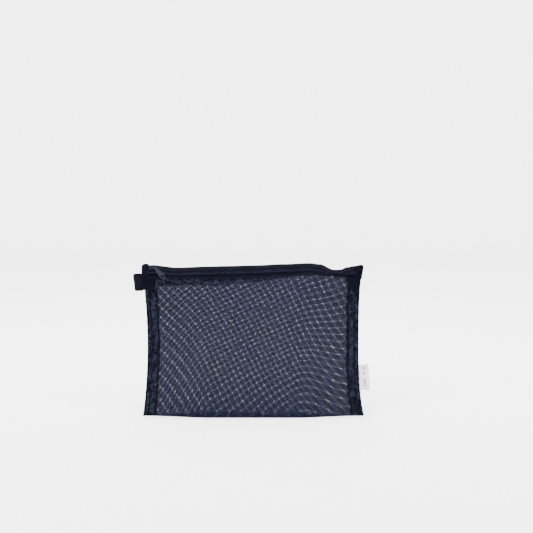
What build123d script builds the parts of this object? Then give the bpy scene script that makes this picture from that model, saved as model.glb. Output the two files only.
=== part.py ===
"""Zippered mesh laundry bag: two net walls over a folded base, side seams, a zip along the top,
a webbing hang loop and a sewn side label.

Millimetres. +X runs along the zip, +Y to the back, +Z up. The origin is on the floor, under the
middle of the bag's overall box.
"""

import math
import os

from build123d import *

os.makedirs("parts", exist_ok=True)

# --- bag -------------------------------------------------------------------------------------
overall_half_length = 177.0  # centre to the outer fold of the hang loop, and to the label's edge
corner_x = 163.6  # centre to the outside of a top corner
middle_x = 80.0  # half the length of the walls that swing open
section_gap = 0.3  # between the swinging middle of a wall and its fixed ends

net_thickness = 0.6
base_thickness = 0.7
base_half_depth = 17.0
base_tip_x = 167.0
base_tip_half_depth = 1.2

# A wall's outer line from fold to zip, as (distance from the middle plane, height)
wall_foot = (16.7, 1.0)
wall_belly = (21.0, 80.0)
wall_top = (4.4, 212.0)
wall_side_x = 150.0  # where the wall meets the side seam
side_foot = (2.2, 1.0)
side_belly = (2.9, 80.0)
side_top = (2.2, 212.0)

# --- side seams ------------------------------------------------------------------------------
seam_width = 14.0
seam_thickness = 2.0
seam_foot = (165.5, 0.9)
seam_waist = (157.0, 106.0)
seam_head = (161.5, 189.5)

# --- zip -------------------------------------------------------------------------------------
zip_roll = 46.0  # degrees that the chain is rolled towards the front
chain_y, chain_z = -3.2, 223.6
tape_end_x = 157.3
tape_thickness = 0.6
tape_fall_y = 6.6  # middle plane to the falling part of each tape
tape_foot_z = 207.0
crest_reach = 5.7  # chain centre to the crest where the back tape turns down
tape_edge = 3.6  # chain centre to the edge of the tape
coil_inner, coil_outer, coil_half_height = 0.9, 3.0, 1.1
coil_end_x = 152.8

# --- slider ----------------------------------------------------------------------------------
slider_rest_x, slider_open_x = -147.0, 146.0
wing_length, wing_thickness = 11.0, 1.0
wing_nose_half, wing_tail_half = 4.1, 3.9
wing_inner_height = 1.5
flange_width, flange_drop = 0.6, 0.8
post_length, post_half_width = 2.5, 0.7
bridge_half_length, bridge_bar, bridge_half_width = 3.6, 0.9, 0.6
bridge_axis_height = 5.0

# --- pull tab --------------------------------------------------------------------------------
pull_drop = 20.0  # degrees that the tab lies below the slider's wings
pull_slant = 41.0  # degrees that the tab leans along the zip
pull_length, pull_thickness = 27.0, 1.2
pull_neck_half, pull_head_half = 1.4, 3.9
pull_hole_at, pull_hole_radius = 21.4, 2.4
eye_bore_radius, eye_wire_radius = 1.05, 0.45

# --- trim ------------------------------------------------------------------------------------
stop_length, stop_half_height = 2.8, 1.6
webbing_width, webbing_thickness = 25.0, 1.1
webbing_foot_z = 190.0
webbing_tail_x = 146.5  # centre to the inner end of the webbing sewn inside the seam
loop_hinge_x = 165.0
loop_slot_half_depth = 2.4
label_width, label_height, label_thickness = 15.2, 40.0, 0.8
label_centre_z, label_lean = 58.9, 4.9

# --- planes and directions -------------------------------------------------------------------
roll = math.radians(zip_roll)
across_zip = Vector(0, math.cos(roll), math.sin(roll))  # along the tapes, towards the back
out_of_zip = Vector(0, -math.sin(roll), math.cos(roll))  # away from the bag, through the slider
chain_centre = Vector(0, chain_y, chain_z)
bridge_axis = chain_centre + out_of_zip * bridge_axis_height


def zip_plane(x, height=0.0):
    """Plane lying in the zip: its x runs along the zip, its y across it towards the back."""
    origin = Vector(x, 0, 0) + chain_centre + out_of_zip * height
    return Plane(origin=origin, x_dir=(1, 0, 0), z_dir=out_of_zip)


def cross_zip_plane(x):
    """Plane across the zip: its x runs across the tapes, its y out of the zip."""
    return Plane(origin=Vector(x, 0, 0) + chain_centre, x_dir=across_zip, z_dir=(1, 0, 0))


def save(part, node):
    part.label = node
    export_step(part, f"parts/{node}.step")


# --- base and walls --------------------------------------------------------------------------
with BuildPart() as base:
    with BuildSketch():
        with BuildLine():
            Polyline(
                (base_tip_x, -base_tip_half_depth),
                (base_tip_x, base_tip_half_depth),
                (middle_x, base_half_depth),
                (-middle_x, base_half_depth),
                (-base_tip_x, base_tip_half_depth),
                (-base_tip_x, -base_tip_half_depth),
                (-middle_x, -base_half_depth),
                (middle_x, -base_half_depth),
                close=True,
            )
        make_face()
    extrude(amount=base_thickness)
save(base.part, "base_fold")


def wall_profile(foot, belly, top, side):
    """Closed profile of a wall: x runs to the back, y up. side is -1 at the front and 1 at the back."""
    outer = [(side * y, z) for y, z in (foot, belly, top)]
    inner = [(side * (y - net_thickness), z) for y, z in (foot, belly, top)]
    with BuildSketch() as profile:
        with BuildLine():
            ThreePointArc(*outer)
            Line(outer[-1], inner[-1])
            ThreePointArc(*reversed(inner))
            Line(inner[0], outer[0])
        make_face()
    return profile.sketch


for side, name in ((-1, "front"), (1, "back")):
    full_profile = wall_profile(wall_foot, wall_belly, wall_top, side)
    side_profile = wall_profile(side_foot, side_belly, side_top, side)

    with BuildPart() as wall_middle:
        with BuildSketch(Plane.YZ.offset(-middle_x)):
            add(full_profile)
        extrude(amount=2 * middle_x)
    save(wall_middle.part, f"{name}_net_middle")

    with BuildPart() as wall_ends:
        with BuildSketch(Plane.YZ.offset(middle_x + section_gap)):
            add(full_profile)
        with BuildSketch(Plane.YZ.offset(wall_side_x)):
            add(side_profile)
        loft(ruled=True)
        mirror(about=Plane.YZ)
    save(wall_ends.part, f"{name}_net_ends")

# --- side seams ------------------------------------------------------------------------------
for side, name in ((-1, "left"), (1, "right")):
    outer_edge = [(side * x, z) for x, z in (seam_foot, seam_waist, seam_head)]
    inner_edge = [(side * (x - seam_width), z) for x, z in (seam_foot, seam_waist, seam_head)]
    with BuildPart() as seam:
        with BuildSketch(Plane.XZ):
            with BuildLine():
                ThreePointArc(*outer_edge)
                Line(outer_edge[-1], inner_edge[-1])
                ThreePointArc(*reversed(inner_edge))
                Line(inner_edge[0], outer_edge[0])
            make_face()
        extrude(amount=seam_thickness / 2, both=True)
    save(seam.part, f"{name}_side_seam")

# --- zip tapes -------------------------------------------------------------------------------
front_edge = chain_centre - across_zip * tape_edge
front_bend_z = chain_z - (tape_fall_y + chain_y) * math.tan(roll)
front_route = [(front_edge.Y, front_edge.Z), (-tape_fall_y, front_bend_z), (-tape_fall_y, tape_foot_z)]
back_edge = chain_centre + across_zip * tape_edge
back_crest = chain_centre + across_zip * crest_reach
back_route = [
    (back_edge.Y, back_edge.Z),
    (back_crest.Y, back_crest.Z),
    (tape_fall_y, back_crest.Z - 3.0),
    (tape_fall_y, tape_foot_z),
]


def tape_profile(route, bend_radius):
    """Closed profile of a tape along its route: x runs to the back, y up."""
    with BuildSketch() as profile:
        with BuildLine():
            FilletPolyline(*route, radius=bend_radius)
            offset(amount=tape_thickness / 2, side=Side.BOTH)
        make_face()
    return profile.sketch


for name, route, bend_radius in (("front", front_route, 2.0), ("back", back_route, 1.6)):
    profile = tape_profile(route, bend_radius)
    with BuildPart() as tape_middle:
        with BuildSketch(Plane.YZ.offset(-middle_x)):
            add(profile)
        extrude(amount=2 * middle_x)
    save(tape_middle.part, f"{name}_zip_tape_middle")

    with BuildPart() as tape_ends:
        with BuildSketch(Plane.YZ.offset(middle_x + section_gap)):
            add(profile)
        extrude(amount=tape_end_x - middle_x - section_gap)
        mirror(about=Plane.YZ)
    save(tape_ends.part, f"{name}_zip_tape_ends")

# --- zip coils -------------------------------------------------------------------------------
coil_middle_y = (coil_inner + coil_outer) / 2
for side, name in ((-1, "front"), (1, "back")):
    with BuildPart() as coil_middle:
        with BuildSketch(cross_zip_plane(-middle_x)):
            with Locations((side * coil_middle_y, 0)):
                Rectangle(coil_outer - coil_inner, 2 * coil_half_height)
        extrude(amount=2 * middle_x)
    save(coil_middle.part, f"{name}_zip_coil_middle")

    with BuildPart() as coil_ends:
        with BuildSketch(cross_zip_plane(middle_x + section_gap)):
            with Locations((side * coil_middle_y, 0)):
                Rectangle(coil_outer - coil_inner, 2 * coil_half_height)
        extrude(amount=coil_end_x - middle_x - section_gap)
        mirror(about=Plane.YZ)
    save(coil_ends.part, f"{name}_zip_coil_ends")

# --- zip stops -------------------------------------------------------------------------------
with BuildPart() as top_stops:
    with BuildSketch(cross_zip_plane(-coil_end_x - 0.2)):
        for side in (-1, 1):
            with Locations((side * coil_middle_y, 0)):
                Rectangle(coil_outer - coil_inner, 2 * stop_half_height)
    extrude(amount=-stop_length)
    fillet(top_stops.edges().filter_by(Axis.X), radius=0.5)
save(top_stops.part, "top_stops")

with BuildPart() as bottom_stop:
    with BuildSketch(cross_zip_plane(coil_end_x + 0.2)):
        Rectangle(2 * coil_outer, 2 * stop_half_height)
    extrude(amount=stop_length)
    fillet(bottom_stop.edges().filter_by(Axis.X), radius=0.5)
save(bottom_stop.part, "bottom_stop")

# --- slider ----------------------------------------------------------------------------------
# Two wings joined by a post at the nose, side flanges, and a bridge that carries the pull.
with BuildPart() as slider:
    for height, flange_height in (
        (wing_inner_height, wing_inner_height - flange_drop),
        (-wing_inner_height - wing_thickness, -wing_inner_height),
    ):
        with BuildSketch(zip_plane(slider_rest_x, height)):
            with BuildLine():
                Polyline(
                    (-wing_length / 2, -wing_nose_half),
                    (wing_length / 2, -wing_tail_half),
                    (wing_length / 2, wing_tail_half),
                    (-wing_length / 2, wing_nose_half),
                    close=True,
                )
            make_face()
            fillet(vertices(), radius=1.2)
        extrude(amount=wing_thickness)
        with BuildSketch(zip_plane(slider_rest_x, flange_height)):
            with GridLocations(0, 2 * wing_tail_half - flange_width, 1, 2):
                Rectangle(wing_length - 2.4, flange_width)
        extrude(amount=flange_drop)
    with BuildSketch(zip_plane(slider_rest_x, -wing_inner_height)):
        with Locations((-wing_length / 2 + 0.3 + post_length / 2, 0)):
            RectangleRounded(post_length, 2 * post_half_width, post_half_width * 0.9)
    extrude(amount=2 * wing_inner_height)
    with BuildSketch(Plane(Vector(slider_rest_x, 0, 0) + chain_centre, (1, 0, 0), -across_zip)):
        bridge_foot = wing_inner_height + wing_thickness
        bridge_top = bridge_axis_height + bridge_bar / 2
        bridge_rise = bridge_top - bridge_foot
        with Locations((0, bridge_foot + bridge_rise / 2 - 0.7)):
            RectangleRounded(2 * bridge_half_length, bridge_rise + 1.4, 1.3)
        with Locations((0, bridge_foot - 1.5)):
            Rectangle(4 * bridge_half_length, 3.0, mode=Mode.SUBTRACT)
        with Locations((0, bridge_foot + (bridge_rise - bridge_bar) / 2)):
            Rectangle(2 * (bridge_half_length - bridge_bar), bridge_rise - bridge_bar, mode=Mode.SUBTRACT)
    extrude(amount=bridge_half_width, both=True)
save(slider.part, "zip_slider")

# --- pull tab --------------------------------------------------------------------------------
drop, slant = math.radians(pull_drop), math.radians(pull_slant)
hang = -across_zip * math.cos(drop) - out_of_zip * math.sin(drop)
pull_direction = hang * math.cos(slant) + Vector(1, 0, 0) * math.sin(slant)
pull_normal = Vector(1, 0, 0).cross(hang) * -1
eye_centre = Vector(slider_rest_x, 0, 0) + bridge_axis
pull_plane = Plane(origin=eye_centre, x_dir=pull_direction, z_dir=pull_normal)
eye_radius = eye_bore_radius + eye_wire_radius

with BuildPart() as pull_tab:
    with BuildSketch(pull_plane.offset(-pull_thickness / 2)):
        with BuildLine():
            Polyline(
                (0, -pull_neck_half),
                (pull_length - 6.0, -pull_head_half),
                (pull_length, -pull_head_half * 0.45),
                (pull_length, pull_head_half * 0.45),
                (pull_length - 6.0, pull_head_half),
                (0, pull_neck_half),
                close=True,
            )
        make_face()
        fillet(vertices().filter_by_position(Axis.X, pull_length / 2, pull_length + 1), radius=1.5)
        with Locations((pull_hole_at, 0)):
            Circle(pull_hole_radius, mode=Mode.SUBTRACT)
        Rectangle(4 * eye_radius, 2 * eye_radius, rotation=90 - pull_slant, mode=Mode.SUBTRACT)
    extrude(amount=pull_thickness)
    chamfer(pull_tab.faces().sort_by(Axis(tuple(eye_centre), tuple(pull_normal)))[-1].edges(), 0.3)
    with BuildSketch(Plane(origin=eye_centre, x_dir=(0, 1, 0), z_dir=(1, 0, 0))):
        Circle(eye_bore_radius + 2 * eye_wire_radius)
        Circle(eye_bore_radius, mode=Mode.SUBTRACT)
    extrude(amount=eye_wire_radius, both=True)
save(pull_tab.part, "pull_tab")

# --- corners, webbing and label --------------------------------------------------------------
corner_foot_z, corner_top_z, corner_half_depth = 215.5, 228.0, 7.0
for side, name in ((-1, "left"), (1, "right")):
    with BuildPart() as corner:
        with BuildSketch(Plane.YZ.offset(tape_end_x + 0.3)):
            with Locations((0, (corner_foot_z + corner_top_z) / 2)):
                RectangleRounded(2 * corner_half_depth, corner_top_z - corner_foot_z, 3.0)
        extrude(amount=corner_x - tape_end_x - 0.3)
        if side < 0:
            mirror(about=Plane.YZ, mode=Mode.REPLACE)
    save(corner.part, f"{name}_corner_fold")

tail_half_thickness = webbing_thickness
for side, name in ((-1, "hang_loop_tail"), (1, "zip_tape_tail")):
    with BuildPart() as tail:
        with Locations((side * (corner_x + webbing_tail_x) / 2, 0, webbing_foot_z + webbing_width / 2)):
            Box(corner_x - webbing_tail_x, 2 * tail_half_thickness, webbing_width)
    save(tail.part, name)

loop_half_depth = loop_slot_half_depth + webbing_thickness
loop_inner_end_x = -168.4
with BuildPart() as hang_loop:
    with BuildSketch(Plane.XY.offset(webbing_foot_z)):
        loop_length = loop_inner_end_x + overall_half_length
        with Locations((-overall_half_length + loop_length / 2, 0)):
            RectangleRounded(loop_length, 2 * loop_half_depth, 2.9)
        with Locations((-loop_hinge_x - 1.9, 0)):
            Rectangle(3.4, 2 * tail_half_thickness)
        with Locations((-overall_half_length + loop_length / 2, 0)):
            RectangleRounded(
                loop_length - 2 * webbing_thickness, 2 * loop_slot_half_depth, 1.2, mode=Mode.SUBTRACT
            )
    extrude(amount=webbing_width)
save(hang_loop.part, "hang_loop")

lean = math.radians(label_lean)
label_reach = label_width / 2 * math.cos(lean) + label_height / 2 * math.sin(lean)
label_plane = Plane(
    origin=(overall_half_length - label_reach, 0, label_centre_z),
    x_dir=(math.cos(lean), 0, math.sin(lean)),
    z_dir=(0, -1, 0),
)
with BuildPart() as label:
    with BuildSketch(label_plane):
        Rectangle(label_width, label_height)
    extrude(amount=label_thickness / 2, both=True)
save(label.part, "side_label")

label_root = label_plane.from_local_coords(Vector(-label_width / 2, 0, 0))
print("pull hinge", eye_centre)
print("label hinge", label_root, "axis", label_plane.y_dir)
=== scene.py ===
import math

import bpy
import numpy as np
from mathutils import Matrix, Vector


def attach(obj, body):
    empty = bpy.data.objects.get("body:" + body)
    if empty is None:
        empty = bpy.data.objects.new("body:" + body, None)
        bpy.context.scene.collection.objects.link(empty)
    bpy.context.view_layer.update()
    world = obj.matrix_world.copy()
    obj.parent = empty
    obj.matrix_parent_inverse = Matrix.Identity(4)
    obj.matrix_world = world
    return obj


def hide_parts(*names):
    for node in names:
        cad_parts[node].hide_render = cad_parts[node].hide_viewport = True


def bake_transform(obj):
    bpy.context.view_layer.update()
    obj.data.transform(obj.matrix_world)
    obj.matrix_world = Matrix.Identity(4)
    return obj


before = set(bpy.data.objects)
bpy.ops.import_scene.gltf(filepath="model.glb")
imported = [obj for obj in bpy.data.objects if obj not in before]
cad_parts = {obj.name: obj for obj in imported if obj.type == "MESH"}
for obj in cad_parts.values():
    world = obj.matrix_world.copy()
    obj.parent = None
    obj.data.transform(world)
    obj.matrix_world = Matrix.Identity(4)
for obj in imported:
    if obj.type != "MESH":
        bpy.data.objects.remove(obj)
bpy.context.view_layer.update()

mm = 0.001
print("frame loaded")

# small helpers for picking, reading and moving pieces


def clearSelection():
    if bpy.context.mode != "OBJECT":
        bpy.ops.object.mode_set(mode="OBJECT")
    bpy.ops.object.select_all(action="DESELECT")


def pick(piece):
    clearSelection()
    piece.select_set(True)
    bpy.context.view_layer.objects.active = piece


def readPoints(piece):
    flat = np.empty(len(piece.data.vertices) * 3)
    piece.data.vertices.foreach_get("co", flat)
    return flat.reshape(-1, 3)


def writePoints(piece, points):
    piece.data.vertices.foreach_set("co", np.ascontiguousarray(points).ravel())
    piece.data.update()


def fixPlace(piece, name):
    pick(piece)
    bpy.ops.object.transform_apply(location=True, rotation=True, scale=True)
    piece.name = piece.data.name = name
    return piece


def copyPiece(piece, name):
    pick(piece)
    bpy.ops.object.duplicate()
    twin = bpy.context.object
    twin.name = twin.data.name = name
    return twin


def finishWith(piece, kind, **settings):
    pick(piece)
    modifier = piece.modifiers.new(kind.title(), kind)
    for key, value in settings.items():
        setattr(modifier, key, value)
    bpy.ops.object.modifier_apply(modifier=modifier.name)


def joinPieces(pieces, name):
    clearSelection()
    for piece in pieces:
        piece.select_set(True)
    bpy.context.view_layer.objects.active = pieces[0]
    bpy.ops.object.join()
    return fixPlace(bpy.context.object, name)


def selectEdges(piece, wanted):  # leaves the piece in edit mode
    pick(piece)
    bpy.ops.object.mode_set(mode="EDIT")
    bpy.ops.mesh.select_mode(type="EDGE")
    bpy.ops.mesh.select_all(action="DESELECT")
    bpy.ops.object.mode_set(mode="OBJECT")
    for edge in piece.data.edges:
        a, b = (piece.data.vertices[i].co for i in edge.vertices)
        edge.select = bool(wanted(a, b))
    bpy.ops.object.mode_set(mode="EDIT")


def doneEditing():
    bpy.ops.object.mode_set(mode="OBJECT")


def coverWith(piece, material):
    piece.data.materials.clear()
    piece.data.materials.append(material)


def mapCloth(piece, name, u, v):  # u and v are one value for each vertex
    corner = np.empty(len(piece.data.loops), int)
    piece.data.loops.foreach_get("vertex_index", corner)
    layer = piece.data.uv_layers.get(name) or piece.data.uv_layers.new(name=name)
    layer.data.foreach_set("uv", np.column_stack((u[corner], v[corner])).ravel())


# a Level is a number or colour inside a material, and sums on it add Math nodes


class Level:
    def __init__(self, recipe, socket):
        self.recipe, self.socket = recipe, socket

    def sum(self, operation, first, second=0.0):
        return self.recipe.add("ShaderNodeMath", {"operation": operation}, {0: first, 1: second})

    def __add__(self, other):
        return self.sum("ADD", self, other)

    def __sub__(self, other):
        return self.sum("SUBTRACT", self, other)

    def __rsub__(self, other):
        return self.sum("SUBTRACT", other, self)

    def __mul__(self, other):
        return self.sum("MULTIPLY", self, other)

    def __gt__(self, other):
        return self.sum("GREATER_THAN", self, other)

    def __lt__(self, other):
        return self.sum("LESS_THAN", self, other)

    __radd__ = __add__
    __rmul__ = __mul__

    def wave(self):
        return self.sum("SINE", self)

    def size(self):
        return self.sum("ABSOLUTE", self)


class Recipe:
    def __init__(self, name, **constants):
        self.material = bpy.data.materials.new(name)
        self.material.use_nodes = True
        self.tree = self.material.node_tree
        self.shader = self.tree.nodes["Principled BSDF"]
        for key, value in constants.items():
            self.shader.inputs[key.replace("_", " ")].default_value = value

    def add(self, kind, settings=None, inputs=None, output=0):
        node = self.tree.nodes.new(kind)
        for key, value in (settings or {}).items():
            setattr(node, key, value)
        for key, value in (inputs or {}).items():
            if isinstance(value, Level):
                self.tree.links.new(value.socket, node.inputs[key])
            else:
                node.inputs[key].default_value = value
        return Level(self, node.outputs[output])

    def feed(self, name, level):
        self.tree.links.new(level.socket, self.shader.inputs[name])
        return self

    def spot(self):  # a point on the piece, in metres
        return self.add("ShaderNodeTexCoord", output=3)

    def clothSpot(self):  # along and across the flat cloth, in millimetres
        spot = self.add("ShaderNodeUVMap", {"uv_map": "cloth"})
        return [self.add("ShaderNodeSeparateXYZ", {}, {0: spot}, output=i) for i in (0, 1)]

    def grain(self, scale, detail=3.0):
        return self.add("ShaderNodeTexNoise", {}, {"Vector": self.spot(), "Scale": scale, "Detail": detail})

    def mix(self, share, first, second):
        return self.add("ShaderNodeMix", {"data_type": "RGBA"}, {0: share, 6: first, 7: second}, output=2)

    def bumps(self, height, strength, distance):
        bump = self.add("ShaderNodeBump", {}, {"Height": height, "Strength": strength, "Distance": distance})
        return self.feed("Normal", bump)


def studioPaper():
    paper = Recipe("studioPaper", Roughness=0.9)
    cloudy = paper.grain(9.0, 2.0)
    return paper.feed("Base Color", paper.mix(cloudy, (0.90, 0.90, 0.895, 1), (0.92, 0.92, 0.915, 1)))


def netNylon():
    nylon = Recipe("netNylon", Roughness=0.65, Specular_IOR_Level=0.03, Alpha=0.89)
    share = nylon.grain(900.0, 2.0) * 0.6 + nylon.grain(26.0) * 0.5
    return nylon.feed("Base Color", nylon.mix(share, (0.0020, 0.0027, 0.0080, 1), (0.0050, 0.0062, 0.0162, 1)))


def seamNylonPaintedShade():  # the same net, gathered and sewn through, with painted highlight and shade of its crinkles as random lighter and darker patches
    gathered = Recipe("seamNylonPaintedShade", Roughness=0.65, Specular_IOR_Level=0.03, Alpha=0.89)
    share = gathered.grain(230.0, 4.0) * 4.6 - 2.1 + gathered.grain(900.0, 2.0) * 0.3
    # painted highlight and shade: strong noise patches stand in for light falling on the crinkles
    tint = gathered.mix(share, (0.0005, 0.0007, 0.0024, 1), (0.0110, 0.0125, 0.0240, 1))
    return gathered.feed("Base Color", tint)


def tapeWeave():
    tape = Recipe("zipTapeWeave", Roughness=0.7, Specular_IOR_Level=0.02)
    u, v = tape.clothSpot()  # v from the sewn foot of the tape upwards
    ribs = (u * (2 * math.pi / 0.62)).wave() * (v * (2 * math.pi / 0.8) + u * (math.pi / 0.62)).wave()
    paintedHighlightBand = (v > 7.8) * (v < 12.6)  # painted highlight: a lighter band across the tape between the sewn hem and the coil
    rim = (v > 14.3) * (v < 15.1)
    share = (tape.grain(120.0) * 0.8 + ribs * 0.22) * (paintedHighlightBand * 0.9 + rim * 0.6 + 0.2)
    tape.feed("Base Color", tape.mix(share, (0.0004, 0.0005, 0.0017, 1), (0.0042, 0.0050, 0.0128, 1)))
    return tape.bumps(ribs * 0.5 + tape.grain(2200.0, 1.0) * 0.4, 0.5, 0.00025)


def webbingWeave():
    web = Recipe("webbingWeave", Roughness=0.75, Specular_IOR_Level=0.02)
    u, v = web.clothSpot()
    rib = (v * (math.pi / 1.3)).wave()
    picks = (u * (2 * math.pi / 0.9) + rib * 1.4).wave()
    share = rib.size() * 0.6 + picks * 0.2
    web.feed("Base Color", web.mix(share, (0.0004, 0.0005, 0.0013, 1), (0.0054, 0.0060, 0.0118, 1)))
    return web.bumps(rib.size() * 0.8 + picks * 0.3, 0.7, 0.0004)


def foldedCloth():
    fold = Recipe("foldedCloth", Roughness=0.72, Specular_IOR_Level=0.02)
    creasesAndPaintedShade = fold.grain(210.0, 4.0)
    # painted shade: the colour follows the crease bumps, darker in their hollows and lighter on their ridges
    fold.feed("Base Color", fold.mix(creasesAndPaintedShade, (0.0003, 0.0004, 0.0012, 1), (0.0019, 0.0023, 0.0056, 1)))
    return fold.bumps(fold.grain(1500.0, 2.0) * 0.3 + creasesAndPaintedShade, 0.6, 0.0006)


def coilNylon():
    coil = Recipe("coilNylon", Roughness=0.5, Specular_IOR_Level=0.05)
    tint = coil.mix(coil.grain(300.0, 2.0), (0.0018, 0.0022, 0.0052, 1), (0.0048, 0.0057, 0.0115, 1))
    return coil.feed("Base Color", tint)


def sewingThread():
    thread = Recipe("sewingThread", Roughness=0.6, Specular_IOR_Level=0.12)
    twist = thread.grain(1400.0, 2.0)
    thread.feed("Base Color", thread.mix(twist, (0.0022, 0.0026, 0.0065, 1), (0.0075, 0.0085, 0.0175, 1)))
    return thread.bumps(twist, 0.5, 0.0002)


def enamel(name, dark, light, roughness):
    coat = Recipe(name, Metallic=0.1, Specular_IOR_Level=0.06, Coat_Weight=0.02, Coat_Roughness=0.35)
    wear = coat.grain(420.0, 5.0)
    coat.feed("Base Color", coat.mix(coat.grain(60.0, 2.0) * 0.7 + wear * 0.3, dark, light))
    coat.feed("Roughness", wear * 0.22 + roughness)
    return coat.bumps(wear, 0.15, 0.0002)


def labelSatin():
    satin = Recipe("labelSatin", Roughness=0.42, Specular_IOR_Level=0.45, Sheen_Weight=0.1)
    u, v = satin.clothSpot()  # u from the seam outwards, v up the label
    weave = (u * (2 * math.pi / 0.45)).wave() * (v * (2 * math.pi / 0.45)).wave()
    ink = satin.mix(weave * 0.3 + 0.5, (0.40, 0.40, 0.43, 1), (0.52, 0.52, 0.55, 1))
    off = u - 7.6
    column = off.size() < 2.2
    amber = column * ((v * (2 * math.pi / 3.1)).wave() > -0.35) * (v > 5.0) * (v < 18.5)
    teal = column * ((v * (2 * math.pi / 2.3)).wave() > -0.2) * (v > 30.5) * (v < 35.5)
    dot = (off * off + (v - 25.5) * (v - 25.5)) < 3.2
    for mark, colour in (
        (amber, (0.17, 0.075, 0.004, 1)), (teal, (0.010, 0.022, 0.030, 1)), (dot, (0.19, 0.095, 0.004, 1)),
    ):
        ink = satin.mix(mark, ink, colour)
    satin.feed("Base Color", ink)
    return satin.bumps(weave, 0.3, 0.0002)


finishes = {
    "net": netNylon().material,
    "seamNet": seamNylonPaintedShade().material,
    "tape": tapeWeave().material,
    "webbing": webbingWeave().material,
    "fold": foldedCloth().material,
    "coil": coilNylon().material,
    "thread": sewingThread().material,
    "slider": enamel("sliderEnamel", (0.0008, 0.0010, 0.0026, 1), (0.0030, 0.0036, 0.0085, 1), 0.5).material,
    "pull": enamel("pullEnamel", (0.0014, 0.0017, 0.0046, 1), (0.0080, 0.0092, 0.0205, 1), 0.4).material,
    "label": labelSatin().material,
}
print("materials made")

# the room: one pale sheet that is floor and wall, soft light, camera

room = {"radius": 3.6, "height": 2.6, "coveRadius": 0.5, "sky": 3.1}
camera = {"distance": 1.80, "elevation": 5.0, "lens": 81.6, "aim": (0.0209, 0.0, 0.2257)}
lamps = {  # place, size, watts, aim
    "key": ((-1.3, -1.9, 1.9), 1.6, 135, (0, 0, 0.10)),
    "fill": ((1.8, -1.5, 1.2), 1.8, 60, (0, 0, 0.10)),
    "wallWash": ((0.0, 0.05, 2.3), 1.6, 200, (0, 3.4, 0.6)),
}


def aimAt(thing, target):
    thing.rotation_euler = (Vector(target) - thing.location).to_track_quat("-Z", "Y").to_euler()


def buildRoom():
    clearSelection()
    bpy.ops.mesh.primitive_circle_add(vertices=96, radius=room["radius"], fill_type="NGON")
    sheet = fixPlace(bpy.context.object, "studioSheet")
    selectEdges(sheet, lambda a, b: True)
    bpy.ops.mesh.extrude_edges_move(TRANSFORM_OT_translate={"value": (0, 0, room["height"])})
    doneEditing()
    selectEdges(sheet, lambda a, b: max(a.z, b.z) < mm)
    bpy.ops.mesh.bevel(offset=room["coveRadius"], segments=10, affect="EDGES")
    doneEditing()
    bpy.ops.object.shade_smooth()
    coverWith(sheet, studioPaper().material)
    for name, (place, size, watts, target) in lamps.items():
        bpy.ops.object.light_add(type="AREA", location=place)
        lamp = bpy.context.object
        lamp.name = name
        lamp.data.shape, lamp.data.size, lamp.data.energy = "DISK", size, watts
        aimAt(lamp, target)
    sky = bpy.data.worlds.new("softSky")
    sky.use_nodes = True
    sky.node_tree.nodes["Background"].inputs["Color"].default_value = (1, 1, 1, 1)
    sky.node_tree.nodes["Background"].inputs["Strength"].default_value = room["sky"]
    bpy.context.scene.world = sky
    lift, aim = math.radians(camera["elevation"]), Vector(camera["aim"])
    bpy.ops.object.camera_add(location=aim + Vector((0, -math.cos(lift), math.sin(lift))) * camera["distance"])
    eye = bpy.context.object
    eye.data.lens, eye.data.sensor_width = camera["lens"], 36
    aimAt(eye, aim)
    bpy.context.scene.camera = eye


buildRoom()
print("room built")

# the bag's shape: where a point of flat cloth lies once it is sewn

bag = {
    "halfWidth": 165 * mm,
    "clothHeight": 214 * mm,
    "foot": 0.6 * mm,
    "netTop": 213 * mm,
    "tapeFoot": 208 * mm,
    "crestWave": [  # millimetres that the top edge stands above level, along the bag
        (-166, 1.2), (-147, 0.0), (-112, -3.2), (-72, -1.7), (-40, -0.9), (5, 0.0), (46, 1.8), (86, 3.3),
        (100, 1.8), (122, -6.4), (130, -6.4), (142, -2.6), (151, -0.9), (158, 0.0), (166, 0.2),
    ],
    "footWave": [(-166, 0.0), (-50, 0.0), (4, 1.2), (46, 3.7), (88, 7.2), (120, 5.6), (166, 5.0)],
    "swellFrom": 62 * mm,
    "swellTo": 158 * mm,
    "edgeDepth": 0.8 * mm,
}
halves = (("Left", -1), ("Right", 1))
walls = (("front", -1), ("back", 1))


def ease(t):
    t = np.clip(t, 0, 1)
    return t * t * (3 - 2 * t)


def through(stations, x):  # a smooth line through pairs of place and value
    places = np.array([s[0] for s in stations], float)
    values = np.array([s[1] for s in stations], float)
    i = np.clip(np.searchsorted(places, x) - 1, 0, len(places) - 2)
    t = ease((x - places[i]) / (places[i + 1] - places[i]))
    return values[i] + (values[i + 1] - values[i]) * t


def leftEdge(z):
    return -(157.2 + 7.9 * ((z / mm - 112) / 113) ** 2) * mm


def rightEdge(z):
    return (158.8 + 7.8 * np.abs((z / mm - 120) / 115) ** 3) * mm


def lift(x, z):
    crest = through(bag["crestWave"], np.clip(x / mm, -166, 166)) * mm
    foot = through(bag["footWave"], np.clip(x / mm, -166, 166)) * mm * ease((z / mm - 80) / 128)
    return foot + (crest - foot) * ease((z / mm - 208) / 12)


def sway(x, z):  # how far the top wanders towards the back
    free = ease((x / mm + 140) / 60) * ease((138 - x / mm) / 50)
    return 1.6 * mm * np.sin(x / (43 * mm) + 0.6) * free * ease((z / mm - 60) / 150)


def fullDepth(z):
    t = z / mm
    low = 16.2 + 4.6 * np.sin(np.clip(t / 80, 0, 1) * math.pi / 2) - 1.6 * np.exp(-t / 2.0)
    high = 20.8 - 16.2 * np.clip((t - 80) / 132, 0, 1) ** 1.75
    return np.where(t < 80, low, high) * mm


def wallDepth(x, z):
    swell = 1 - ease((np.abs(x) - bag["swellFrom"]) / (bag["swellTo"] - bag["swellFrom"]))
    return bag["edgeDepth"] + (fullDepth(z) - bag["edgeDepth"]) * swell


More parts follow.
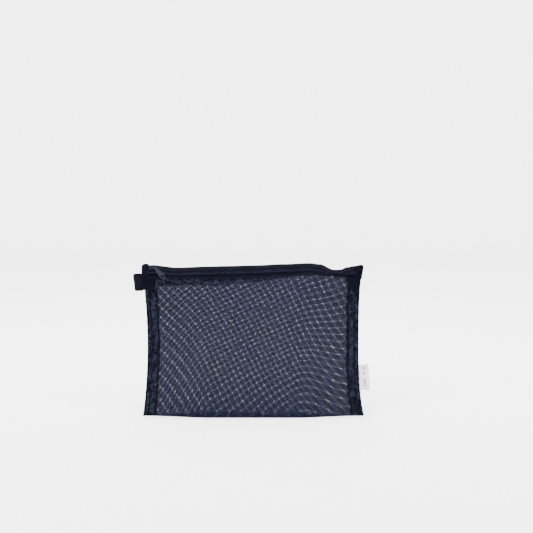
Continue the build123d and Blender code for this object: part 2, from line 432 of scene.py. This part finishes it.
def onWall(flat, side):  # flat is across, off and up the cloth; side is -1 in front and 1 behind
    across, off, up = flat[:, 0], flat[:, 1], flat[:, 2]
    z = bag["foot"] + up / bag["clothHeight"] * (bag["netTop"] - bag["foot"])
    left, right = leftEdge(z), rightEdge(z)
    x = left + (across / bag["halfWidth"] + 1) / 2 * (right - left)
    edge = np.clip(np.minimum(x - left, right - x), 0, 1)
    slack = np.sin(x / (19 * mm) + 1.3 * side + 0.9 * np.sin(z / (47 * mm)))
    slack = slack * ease(edge / (35 * mm)) * ease((212 * mm - z) / (40 * mm)) * ease(z / (30 * mm))
    pucker = np.sin(z / (1.5 * mm) + 2.2 * np.sin(z / (8 * mm) + side)) * np.exp(-edge / (8 * mm))
    y = wallDepth(x, z) + 0.9 * mm * slack + 0.7 * mm * pucker * ease(edge / (2 * mm))
    return np.column_stack((x, side * (y + off) + sway(x, z), z + lift(x, z)))


# net: threads side by side both ways, flat first, then laid on the bag's shape

net = {
    "pitch": 1.1 * mm,
    "threadWidth": 0.875 * mm,
    "threadDepth": 0.13 * mm,
    "step": 2 * mm,
    "wander": 0.007 * mm,  # unevenness of the knitting
    "baseFullness": 0.94,  # the base's threads are a little finer
    "turn": {"front": -1.8, "back": 1.8},  # grain of each cloth, degrees
    "stretch": {"front": 1.05, "back": 0.95},
}


def threadRow(length, count, pitch, widthShare, upright):
    clearSelection()
    width = net["threadWidth"] * widthShare
    bpy.ops.mesh.primitive_plane_add(size=1, rotation=(math.pi / 2, 0, 0))
    thread = bpy.context.object
    thread.scale = (width, length, 1) if upright else (length, width, 1)
    fixPlace(thread, "thread")
    along, beside = (2, 0) if upright else (0, 2)
    selectEdges(thread, lambda a, b: abs(a[along] - b[along]) > length / 2)
    bpy.ops.mesh.subdivide(number_cuts=max(1, round(length / net["step"]) - 1))
    doneEditing()
    offset = (pitch, 0, 0) if upright else (0, 0, pitch)
    finishWith(thread, "ARRAY", count=count, use_relative_offset=False, use_constant_offset=True,
               constant_offset_displace=offset)
    points = readPoints(thread)
    points[:, beside] -= (count - 1) * pitch / 2
    number = np.round(points[:, beside] / pitch + (count - 1) / 2)
    phase = 2 * math.pi * ((np.sin(number * 12.9898) * 43758.5453) % 1.0)
    way = points[:, along]
    points[:, beside] += net["wander"] * (
        np.sin(phase * 7) + np.sin(way / (2.3 * mm) + phase) + 2.4 * np.sin(way / (0.9 * mm) + phase * 3)
    )
    writePoints(thread, points)
    return thread


def trim(piece, low, high):  # cuts flat cloth to a rectangle
    pick(piece)
    bpy.ops.object.mode_set(mode="EDIT")
    for place, normal in (
        ((low[0], 0, 0), (-1, 0, 0)), ((high[0], 0, 0), (1, 0, 0)),
        ((0, 0, low[1]), (0, 0, -1)), ((0, 0, high[1]), (0, 0, 1)),
    ):
        bpy.ops.mesh.select_all(action="SELECT")
        bpy.ops.mesh.bisect(plane_co=place, plane_no=normal, clear_outer=True)
    doneEditing()


def flatNet(width, height, turn, stretch, name, fullness=1.0):  # across x, and up z from 0
    lean = abs(math.sin(math.radians(turn)))
    reach, climb = width * 1.02 + height * lean + 4 * mm, height * 1.02 + width * lean + 4 * mm
    pitch = net["pitch"] * stretch
    uprights = threadRow(climb, int(reach / pitch), pitch, stretch * fullness, True)
    levels = threadRow(reach, int(climb / pitch), pitch, stretch * fullness, False)
    points = readPoints(levels)
    points[:, 1] += net["threadDepth"] * 0.9
    writePoints(levels, points)
    sheet = joinPieces([uprights, levels], name)
    points = readPoints(sheet)
    angle = math.radians(turn)
    x, z = points[:, 0].copy(), points[:, 2].copy()
    points[:, 0] = x * math.cos(angle) - z * math.sin(angle)
    points[:, 2] = x * math.sin(angle) + z * math.cos(angle) + height / 2
    writePoints(sheet, points)
    return sheet


def bakeMap(piece, low, high):  # before the cloth is laid
    flat = readPoints(piece)
    across, up = (flat[:, 0] - low[0]) / (high[0] - low[0]), (flat[:, 2] - low[1]) / (high[1] - low[1])
    mapCloth(piece, "OFBake", across, up)


def joinsBag(piece):  # only bakes the piece's placement into its points
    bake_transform(piece)


turnedEdge = {
    "height": 11 * mm,
    "turn": 6.0,  # grain, degrees
    "drop": [(-165, 9.5), (-60, 9.0), (0, 4.5), (50, 2.0), (165, 2.0)],  # millimetres below the tape's foot
    "overlap": 2.0,  # millimetres up behind the tape
    "proud": 0.35,
    "ripple": 0.3,
}


def hemNet(name, side):  # the net's turned edge that hangs below the tape
    height = turnedEdge["height"]
    strip = flatNet(2 * bag["halfWidth"], height, turnedEdge["turn"] * side, 1.0, name + "TurnedEdge")
    trim(strip, (-bag["halfWidth"], 0), (bag["halfWidth"], height))
    flat = readPoints(strip)
    x = flat[:, 0] / mm
    drop = through(turnedEdge["drop"], x)
    drop = drop + np.sin(x / 3.1) * np.sin(x / 11)
    share = flat[:, 2] / height
    flat[:, 2] = bag["tapeFoot"] + (share * (drop + turnedEdge["overlap"]) - drop) * mm
    flat[:, 1] += (turnedEdge["proud"] + turnedEdge["ripple"] * np.sin(x / 2.3)) * mm
    writePoints(strip, flat)
    return strip


def buildWallNets():
    for name, side in walls:
        turn, stretch = net["turn"][name], net["stretch"][name]
        whole = flatNet(2 * bag["halfWidth"], bag["clothHeight"], turn, stretch, name + "Net")
        trim(whole, (-bag["halfWidth"], 0), (bag["halfWidth"], bag["clothHeight"]))
        turnedOver = hemNet(name, side)
        for half, sign in halves:
            low, high = (min(0, sign * bag["halfWidth"]), 0), (max(0, sign * bag["halfWidth"]), bag["clothHeight"])
            for cloth, kind in ((whole, "Net"), (turnedOver, "NetHem")):
                piece = copyPiece(cloth, name + kind + half)
                trim(piece, low, high)
                bakeMap(piece, low, high)
                writePoints(piece, onWall(readPoints(piece), side))
                coverWith(piece, finishes["net" if kind == "Net" else "seamNet"])
                joinsBag(piece)
            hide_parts(name + "_net_middle", name + "_net_ends")
        bpy.data.objects.remove(whole)
        bpy.data.objects.remove(turnedOver)
        print(name, "net built")


def buildBaseNet():
    width, depth = 330 * mm, 30.2 * mm
    piece = flatNet(width, depth, 1.0, 1.0, "baseNet", net["baseFullness"])
    trim(piece, (-width / 2, 0), (width / 2, depth))
    bakeMap(piece, (-width / 2, 0), (width / 2, depth))
    flat = readPoints(piece)
    x = flat[:, 0]
    y = (flat[:, 2] / depth * 2 - 1) * wallDepth(x, np.full(len(x), bag["foot"]))
    writePoints(piece, np.column_stack((x, y, 0.2 * mm + flat[:, 1])))
    coverWith(piece, finishes["net"])
    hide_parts("base_fold")
    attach(piece, "bag")
    print("base net built")


crease = {"radius": 0.65 * mm, "height": 1.0 * mm}


def rod(name, sides, cuts):  # a closed unit cylinder, cut across many times, from z 0 to 1
    clearSelection()
    bpy.ops.mesh.primitive_cylinder_add(vertices=sides, radius=1, depth=1, location=(0, 0, 0.5))
    piece = fixPlace(bpy.context.object, name)
    selectEdges(piece, lambda a, b: abs(a.z - b.z) > 0.5)
    bpy.ops.mesh.subdivide(number_cuts=cuts)
    doneEditing()
    return piece


def buildCreases():  # the two long edges where the net turns under the bag
    for name, side in walls:
        piece = rod(name + "FootCrease", 8, 120)
        points = readPoints(piece)
        z = np.full(len(points), crease["height"])
        x = leftEdge(z) + 1.5 * mm + points[:, 2] * (rightEdge(z) - leftEdge(z) - 3 * mm)
        thick = crease["radius"] * (1 + 0.15 * np.sin(x / (3.7 * mm)))
        y = side * (wallDepth(x, z) - 0.3 * mm) + points[:, 0] * thick
        writePoints(piece, np.column_stack((x, y, z + points[:, 1] * thick)))
        pick(piece)
        bpy.ops.object.shade_smooth()
        coverWith(piece, finishes["fold"])
        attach(piece, "bag")
    print("foot creases built")


buildWallNets()
buildBaseNet()
buildCreases()

# zip: two tapes, two coils and the stitches along them

zipper = {
    "chainY": -3.2 * mm,
    "chainZ": 223.6 * mm,
    "roll": math.radians(46),
    "fall": 6.6 * mm,
    "tapeEnd": 158 * mm,
    "tapeThickness": 0.5 * mm,
    "coilEnd": 152.6 * mm,
    "toothPitch": 1.5 * mm,
    "wire": 0.34 * mm,
}


def zipSpot(across, out):  # y and z of a point given across the zip and out of it
    c, s = math.cos(zipper["roll"]), math.sin(zipper["roll"])
    return np.array((zipper["chainY"] + across * c - out * s, zipper["chainZ"] + across * s + out * c))


def soften(line, times):
    for _ in range(times):
        cut = [line[0]]
        for a, b in zip(line[:-1], line[1:]):
            cut += [a * 0.75 + b * 0.25, a * 0.25 + b * 0.75]
        line = cut + [line[-1]]
    return np.array(line)


def tapeRoute(side):  # from under the coil, over the edge and down the wall
    stations = [zipSpot(side * a * mm, h * mm) for a, h in ((0.15, -1.0), (2.4, -0.95), (3.2, -0.4), (4.6, -0.2))]
    fall = side * zipper["fall"]
    if side < 0:
        bend = zipSpot(-4.95 * mm, -0.2 * mm)
        stations += [np.array((fall, bend[1] - 0.8 * mm)), np.array((fall, bend[1] - 5 * mm))]
    else:
        crest = zipSpot(5.6 * mm, -0.1 * mm)
        stations += [crest, np.array((fall, crest[1] - 2.4 * mm)), np.array((fall, crest[1] - 7 * mm))]
    return soften(stations + [np.array((fall, bag["tapeFoot"]))], 3)


def routeLength(route):
    return float(np.linalg.norm(np.diff(route, axis=0), axis=1).sum())


def onTape(flat, side):  # flat is along the zip, off the tape and down from under the coil
    route = tapeRoute(side)
    way = np.concatenate(([0], np.cumsum(np.linalg.norm(np.diff(route, axis=0), axis=1))))
    down = flat[:, 2]
    y, z = np.interp(down, way, route[:, 0]), np.interp(down, way, route[:, 1])
    near = 0.4 * mm
    dy = np.interp(down + near, way, route[:, 0]) - np.interp(down - near, way, route[:, 0])
    dz = np.interp(down + near, way, route[:, 1]) - np.interp(down - near, way, route[:, 1])
    size = np.hypot(dy, dz) + 1e-9
    y, z = y - side * dz / size * flat[:, 1], z + side * dy / size * flat[:, 1]
    x = flat[:, 0]
    loose = ease((bag["tapeFoot"] + 8 * mm - z) / (8 * mm)) * ease((150 * mm - np.abs(x)) / (20 * mm))
    y = y + 0.5 * mm * (np.sin(x / (6.5 * mm)) + 0.7 * np.sin(x / (2.9 * mm) + 1)) * loose
    return np.column_stack((x, y + sway(x, z), z + lift(x, z)))


def clothGrid(name, length, width, columns, rows):  # flat, x along and z across from 0
    clearSelection()
    bpy.ops.mesh.primitive_grid_add(x_subdivisions=columns, y_subdivisions=rows, size=1)
    piece = bpy.context.object
    points = readPoints(piece)
    writePoints(piece, np.column_stack((points[:, 0] * length, points[:, 2] * 0, (points[:, 1] + 0.5) * width)))
    piece.name = piece.data.name = name
    flat = readPoints(piece)
    mapCloth(piece, "cloth", flat[:, 0] / mm, flat[:, 2] / mm)
    return piece


def buildTapes():
    for name, side in walls:
        width = routeLength(tapeRoute(side))
        for half, sign in halves:
            length = zipper["tapeEnd"]
            piece = clothGrid(name + "ZipTape" + half, length, width, 110, 16)
            points = readPoints(piece)
            mapCloth(piece, "cloth", points[:, 0] / mm, (width - points[:, 2]) / mm)
            points[:, 0] += sign * length / 2
            writePoints(piece, onTape(points, side))
            finishWith(piece, "SOLIDIFY", thickness=zipper["tapeThickness"], offset=0)
            pick(piece)
            bpy.ops.object.mode_set(mode="EDIT")
            bpy.ops.mesh.select_all(action="SELECT")
            bpy.ops.mesh.normals_make_consistent(inside=False)
            doneEditing()
            bpy.ops.object.shade_smooth()
            coverWith(piece, finishes["tape"])
            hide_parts(name + "_zip_tape_middle", name + "_zip_tape_ends")
            joinsBag(piece)
    print("zip tapes built")


def buildCoils():
    for name, side in walls:
        for half, sign in halves:
            clearSelection()
            bpy.ops.mesh.primitive_torus_add(major_segments=10, minor_segments=4, major_radius=1, minor_radius=0.2,
                                             rotation=(0, math.pi / 2, 0))
            tooth = fixPlace(bpy.context.object, name + "ZipCoil" + half)
            points = readPoints(tooth)
            girth = np.hypot(points[:, 1], points[:, 2])
            thick = (girth - 1) / 0.2
            turn = np.arctan2(points[:, 2], points[:, 1])
            across = (1.8 * mm + thick * zipper["wire"]) * np.cos(turn)
            out = (0.85 * mm + thick * zipper["wire"]) * np.sin(turn)
            along = points[:, 0] / 0.2 * zipper["wire"] + across * 0.10 * side
            writePoints(tooth, np.column_stack((along, across + side * 1.2 * mm, out)))
            pitch = zipper["toothPitch"]
            count = int(zipper["coilEnd"] / pitch)
            finishWith(tooth, "ARRAY", count=count, use_relative_offset=False, use_constant_offset=True,
                       constant_offset_displace=(pitch, 0, 0))
            points = readPoints(tooth)
            x = points[:, 0] + (0.25 if side < 0 else 0.75) * pitch
            if sign < 0:
                x = x - count * pitch
            y, z = zipSpot(points[:, 1], points[:, 2])
            writePoints(tooth, np.column_stack((x, y + sway(x, z), z + lift(x, z))))
            bpy.ops.object.shade_smooth()
            coverWith(tooth, finishes["coil"])
            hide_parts(name + "_zip_coil_middle", name + "_zip_coil_ends")
            joinsBag(tooth)
    print("zip coils built")


stitch = {"length": 2.3 * mm, "pitch": 3.0 * mm, "width": 0.5 * mm, "height": 0.35 * mm}


def stitchRow(name, low, high, down, wobble=0.0):  # flat row of stitches at one height
    clearSelection()
    bpy.ops.mesh.primitive_cube_add(size=1)
    one = bpy.context.object
    one.scale = (stitch["length"], stitch["height"], stitch["width"])
    fixPlace(one, name)
    selectEdges(one, lambda a, b: abs(a.x - b.x) < mm * 0.1)
    bpy.ops.mesh.bevel(offset=0.14 * mm, segments=1, affect="EDGES")
    doneEditing()
    count = int((high - low) / stitch["pitch"])
    finishWith(one, "ARRAY", count=count, use_relative_offset=False, use_constant_offset=True,
               constant_offset_displace=(stitch["pitch"], 0, 0))
    points = readPoints(one)
    points[:, 0] += low + stitch["pitch"] / 2
    points[:, 2] += down + wobble * np.sin(points[:, 0] / (5 * mm))
    writePoints(one, points)
    return one


def buildTapeStitches():
    for name, side in walls:
        width = routeLength(tapeRoute(side))
        for half, sign in halves:
            low, high = (-156 * mm, 0) if sign < 0 else (0, 156 * mm)
            rows = []
            for number, down in enumerate((width - 1.6 * mm, width - 9.4 * mm)):
                row = stitchRow(f"{name}Stitch{half}{number}", low, high, down, 0.15 * mm)
                flat = readPoints(row)
                flat[:, 1] += zipper["tapeThickness"] / 2 + 0.05 * mm
                writePoints(row, onTape(flat, side))
                rows.append(row)
            piece = joinPieces(rows, name + "ZipStitches" + half)
            coverWith(piece, finishes["thread"])
            joinsBag(piece)
    print("zip stitches built")


hem = {"end": 24 * mm, "drop": [(-165, 9.2), (-60, 8.8), (0, 4.6), (30, 3.0)]}


def buildHemStitches():  # uneven tacks along the lower edge of the turned net
    for name, side in walls:
        for half, sign in halves:
            low, high = (-163 * mm, 0) if sign < 0 else (0, hem["end"])
            piece = stitchRow(name + "HemStitches" + half, low, high, 0)
            flat = readPoints(piece)
            x = flat[:, 0] / mm
            number = np.floor((flat[:, 0] - low) / stitch["pitch"])
            flat[:, 2] = flat[:, 2] * (1.6 + 0.9 * np.sin(number * 2.4)) + (
                bag["tapeFoot"] - through(hem["drop"], x) * mm
                + 0.8 * mm * np.sin(number * 1.7) * np.sin(number * 0.6)
            )
            flat[:, 1] = flat[:, 1] + 0.35 * mm
            writePoints(piece, onWall(flat, side))
            coverWith(piece, finishes["fold"])
            joinsBag(piece)
    print("hem stitches built")


buildTapes()
buildCoils()
buildTapeStitches()
buildHemStitches()

# side seams: the net's doubled edge, its overlock lines and the rolled outer edge

seam = {"top": {-1: 192 * mm, 1: 207 * mm}, "foot": 1.0 * mm, "allowance": 18 * mm}


def edgeAt(z, sign):
    return leftEdge(z) if sign < 0 else rightEdge(z)


def acrossFor(inset, sign):  # the flat place that lies this far in from the side
    return sign * (bag["halfWidth"] - inset * bag["halfWidth"] / (160 * mm))


def closeUp(piece):
    pick(piece)
    bpy.ops.object.mode_set(mode="EDIT")
    bpy.ops.mesh.select_all(action="SELECT")
    bpy.ops.mesh.normals_make_consistent(inside=False)
    doneEditing()
    bpy.ops.object.shade_smooth()


def wallStrip(name, side, sign, inset, width, thickness, off, wobble):  # a narrow line of thread up the wall
    height = seam["top"][sign] - seam["foot"]
    piece = clothGrid(name, height, width, 150, 3)
    flat = readPoints(piece)
    up = seam["foot"] + flat[:, 0] + height / 2
    drift = wobble * (np.sin(up / (7 * mm) + inset / mm) + 0.7 * np.sin(up / (2.3 * mm)))
    inward = inset + flat[:, 2] * (1 + 0.35 * np.sin(up / (1.9 * mm) + inset / mm)) + drift
    raised = off + 0.25 * mm * np.sin(up / (0.95 * mm)) * np.sin(up / (5 * mm))
    points = onWall(np.column_stack((acrossFor(inward, sign), raised, up)), side)
    writePoints(piece, points)
    finishWith(piece, "SOLIDIFY", thickness=thickness, offset=0)
    closeUp(piece)
    return piece


def rolledEdge(name, sign):
    piece = rod(name, 12, 170)
    points = readPoints(piece)
    z = seam["foot"] + points[:, 2] * (seam["top"][sign] - seam["foot"])
    ruck = 1 + 0.22 * np.sin(z / (1.7 * mm) + np.sin(z / (9 * mm))) + 0.12 * np.sin(z / (0.8 * mm))
    x = edgeAt(z, sign) - sign * 1.7 * mm + points[:, 0] * 1.75 * mm * ruck
    y = points[:, 1] * 1.5 * mm * ruck + 0.4 * mm * np.sin(z / (13 * mm))
    writePoints(piece, np.column_stack((x, y, z + lift(x, z))))
    pick(piece)
    bpy.ops.object.shade_smooth()
    coverWith(piece, finishes["fold"])
    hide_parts(("left" if sign < 0 else "right") + "_side_seam")
    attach(piece, "bag")


def doubledNet(name, side, sign):  # the seam allowance, crinkled, just inside the wall
    height, width = seam["top"][sign] - seam["foot"] + 6 * mm, seam["allowance"]
    piece = flatNet(width, height, 9.0 * sign * side, 1.05, name)
    trim(piece, (-width / 2, 0), (width / 2, height))
    bakeMap(piece, (-width / 2, 0), (width / 2, height))
    flat = readPoints(piece)
    up, inward = flat[:, 2], flat[:, 0] + width / 2
    inward = np.maximum(inward * (1 + 0.06 * np.sin(up / (4 * mm))), 1.0 * mm)
    off = flat[:, 1] + 0.5 * mm + 0.4 * mm * np.sin(up / (2.6 * mm) + inward / (2 * mm))
    writePoints(piece, onWall(np.column_stack((acrossFor(inward, sign), off, up)), side))
    coverWith(piece, finishes["seamNet"])
    joinsBag(piece)


def buildSideSeams():
    for half, sign in halves:
        rolledEdge("seamEdge" + half, sign)
        for name, side in walls:
            doubledNet(name + "SeamNet" + half, side, sign)
            lines = [
                wallStrip("line", side, sign, 6.0 * mm, 1.5 * mm, 0.5 * mm, 0.95 * mm, 0.35 * mm),
                wallStrip("line", side, sign, 15.8 * mm, 2.5 * mm, 0.5 * mm, 0.95 * mm, 0.4 * mm),
            ]
            piece = joinPieces(lines, name + "Overlock" + half)
            coverWith(piece, finishes["fold"])
            joinsBag(piece)
    print("side seams built")


# corners where the zip is folded down, and the ends of the tape and the hanging loop

corners = {
    "leftFold": {"low": (-165.2, -7.4, 206.5), "high": (-153.2, 7.4, 229.9), "round": 4.6},
    "rightFold": {"low": (152.4, -7.2, 207.0), "high": (165.4, 7.2, 228.2), "round": 2.6},
    "leftTail": {"low": (-163.6, -2.9, 190.6), "high": (-144.6, 2.9, 221.0), "round": 0.9},
    "rightTail": {"low": (139.6, -2.9, 176.0), "high": (163.6, 2.9, 225.0), "round": 0.9},
}


def foldedBlock(name, low, high, rounding):
    clearSelection()
    bpy.ops.mesh.primitive_cube_add(size=1, location=[(a + b) / 2 * mm for a, b in zip(low, high)])
    piece = bpy.context.object
    piece.scale = [(b - a) * mm for a, b in zip(low, high)]
    fixPlace(piece, name)
    pick(piece)
    bpy.ops.object.mode_set(mode="EDIT")
    bpy.ops.mesh.select_all(action="SELECT")
    bpy.ops.mesh.bevel(offset=rounding * mm, segments=4, affect="EDGES")
    doneEditing()
    finishWith(piece, "REMESH", mode="VOXEL", voxel_size=0.45 * mm)
    return piece


def wrinkle(points, amount, seed):
    x, y, z = (points / mm).T
    side = np.sign(y)
    ripple = np.sin(x * 0.9 + z * 0.35 + seed) * np.sin(z * 0.55 + 0.3 * x) + 0.5 * np.sin(x * 2.1 - z * 1.3 + seed)
    points[:, 1] += side * amount * mm * ripple
    return points


def finishFold(piece, kind, slot, *nodes):
    finishWith(piece, "SMOOTH", factor=0.5, iterations=3)
    flat = readPoints(piece) / mm
    mapCloth(piece, "cloth", flat[:, 0] + flat[:, 1], flat[:, 2])
    pick(piece)
    bpy.ops.object.shade_smooth()
    coverWith(piece, finishes[kind])
    if nodes:
        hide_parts(*nodes)
    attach(piece, "bag")


def buildCorners():
    cut = corners["leftFold"]
    piece = foldedBlock("cornerFoldLeft", cut["low"], cut["high"], cut["round"])
    points = readPoints(piece)
    points[:, 1] *= 0.42 + 0.58 * ease((points[:, 2] - 209 * mm) / (11 * mm))
    writePoints(piece, wrinkle(points, 0.35, 1.0))
    finishFold(piece, "fold", "binding", "left_corner_fold")

    cut = corners["rightFold"]
    piece = foldedBlock("cornerFoldRight", cut["low"], cut["high"], cut["round"])
    points = readPoints(piece)
    points[:, 1] *= 0.36 + 0.64 * ease((points[:, 2] - 208 * mm) / (13 * mm))
    fall = 3.0 * mm * (np.clip((161 * mm - points[:, 0]) / (9 * mm), 0, 1) ** 1.2)
    points[:, 2] -= fall * ease((points[:, 2] - 209 * mm) / (12 * mm))
    points[:, 0] = np.minimum(points[:, 0], rightEdge(points[:, 2]) + 0.5 * mm)
    writePoints(piece, wrinkle(points, 0.4, 2.2))
    finishFold(piece, "fold", "binding", "right_corner_fold")

    cut = corners["leftTail"]
    piece = foldedBlock("hangLoopTail", cut["low"], cut["high"], cut["round"])
    points = readPoints(piece)
    spread = ease((points[:, 2] - 204 * mm) / (14 * mm))
    points[:, 1] *= 1 + 1.1 * spread
    points[:, 1] += zipper["chainY"] * 0.2 * spread
    writePoints(piece, wrinkle(points, 0.3, 0.3))
    finishFold(piece, "fold", "webbing", "hang_loop_tail")

    cut = corners["rightTail"]
    piece = foldedBlock("zipTapeTail", cut["low"], cut["high"], cut["round"])
    points = readPoints(piece)
    x, z = points[:, 0] / mm, points[:, 2] / mm
    foot = 209.0 - 36.0 * np.clip((x - 138.5) / 22.5, 0, 1) ** 0.75
    top = 216.5 + 8.0 * ease((x - 152.5) / 2.5)
    share = (z - cut["low"][2]) / (cut["high"][2] - cut["low"][2])
    points[:, 2] = (foot + share * (top - foot)) * mm
    points[:, 1] *= 1 + ease((points[:, 2] - 204 * mm) / (14 * mm)) * ease((x - 150) / 6)
    edge = rightEdge(points[:, 2]) - 0.6 * mm
    points[:, 0] = np.minimum(points[:, 0], edge)
    writePoints(piece, wrinkle(points, 0.3, 1.7))
    finishFold(piece, "fold", "binding", "zip_tape_tail")
    print("corners built")


# hanging loop: one webbing strip folded back on itself, and the side label

loop = {"root": -163.0, "tip": -177.0, "halfGap": 2.75, "low": 189.2, "high": 215.6, "thickness": 1.15, "tilt": 5.6}
label = {
    "root": (160.147 * mm, 0.0, 58.2508 * mm),
    "up": (-0.085417, 0.0, 0.996345),
    "out": (0.996345, 0.0, 0.085417),
    "width": 14.9 * mm,
    "height": 39.4 * mm,
    "thickness": 0.35 * mm,
    "curl": 0.9 * mm,
}


def buildLoop():
    root, tip, gap = loop["root"], loop["tip"], loop["halfGap"]
    line = soften([np.array(p) for p in (
        (root, -0.62), (root - 3.6, -0.70), (root - 7.2, -gap * 0.96), (tip + 2.4, -gap), (tip + 0.4, -gap * 0.62),
        (tip + 0.4, gap * 0.62), (tip + 2.4, gap), (root - 7.2, gap * 0.96), (root - 3.6, 0.70), (root, 0.62),
    )], 3) * mm
    length, height = routeLength(line), (loop["high"] - loop["low"]) * mm
    piece = clothGrid("hangLoop", length, height, 90, 40)
    flat = readPoints(piece)
    way = np.concatenate(([0], np.cumsum(np.linalg.norm(np.diff(line, axis=0), axis=1))))
    along = flat[:, 0] + length / 2
    x, y = np.interp(along, way, line[:, 0]), np.interp(along, way, line[:, 1])
    z = loop["low"] * mm + flat[:, 2]
    middle = (loop["low"] + loop["high"]) / 2 * mm
    tilt, reach = math.radians(loop["tilt"]), root * mm - x
    z = z - reach * math.tan(tilt) * 0.35
    x = x - (z - middle) * math.tan(tilt) * ease(reach / (8 * mm))
    z = middle + (z - middle) * (1 - 0.02 * ease(reach / (10 * mm)) - 0.08 * ease((reach - 11 * mm) / (2.6 * mm)))
    x = x + 0.12 * mm * np.sin(z / (2.1 * mm)) * ease(reach / (4 * mm))
    writePoints(piece, np.column_stack((x, y, z)))
    finishWith(piece, "SOLIDIFY", thickness=loop["thickness"] * mm, offset=0)
    closeUp(piece)
    coverWith(piece, finishes["webbing"])
    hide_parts("hang_loop")
    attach(piece, "loop")
    print("hanging loop built")


def buildLabel():
    piece = clothGrid("sideLabel", label["height"], label["width"], 32, 14)
    flat = readPoints(piece)
    up, out = flat[:, 0], flat[:, 2]
    mapCloth(piece, "cloth", out / mm, (up + label["height"] / 2) / mm)
    slow, quick = np.sin(up / (14 * mm) + 0.7), 0.25 * np.sin(up / (5 * mm))
    bend = label["curl"] * (ease(out / label["width"]) * slow + quick)
    points = np.array(label["root"]) + up[:, None] * np.array(label["up"]) + out[:, None] * np.array(label["out"])
    points[:, 1] += bend * ease(out / (3 * mm))
    writePoints(piece, points)
    finishWith(piece, "SOLIDIFY", thickness=label["thickness"], offset=0)
    closeUp(piece)
    coverWith(piece, finishes["label"])
    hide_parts("side_label")
    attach(piece, "label")
    print("label built")


# metal and moulded parts keep their modelled shape

def finishHardware():
    for node, kind in (
        ("zip_slider", "slider"), ("pull_tab", "pull"), ("top_stops", "coil"), ("bottom_stop", "coil"),
    ):
        coverWith(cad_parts[node], finishes[kind])


buildSideSeams()
buildCorners()
buildLoop()
buildLabel()
finishHardware()
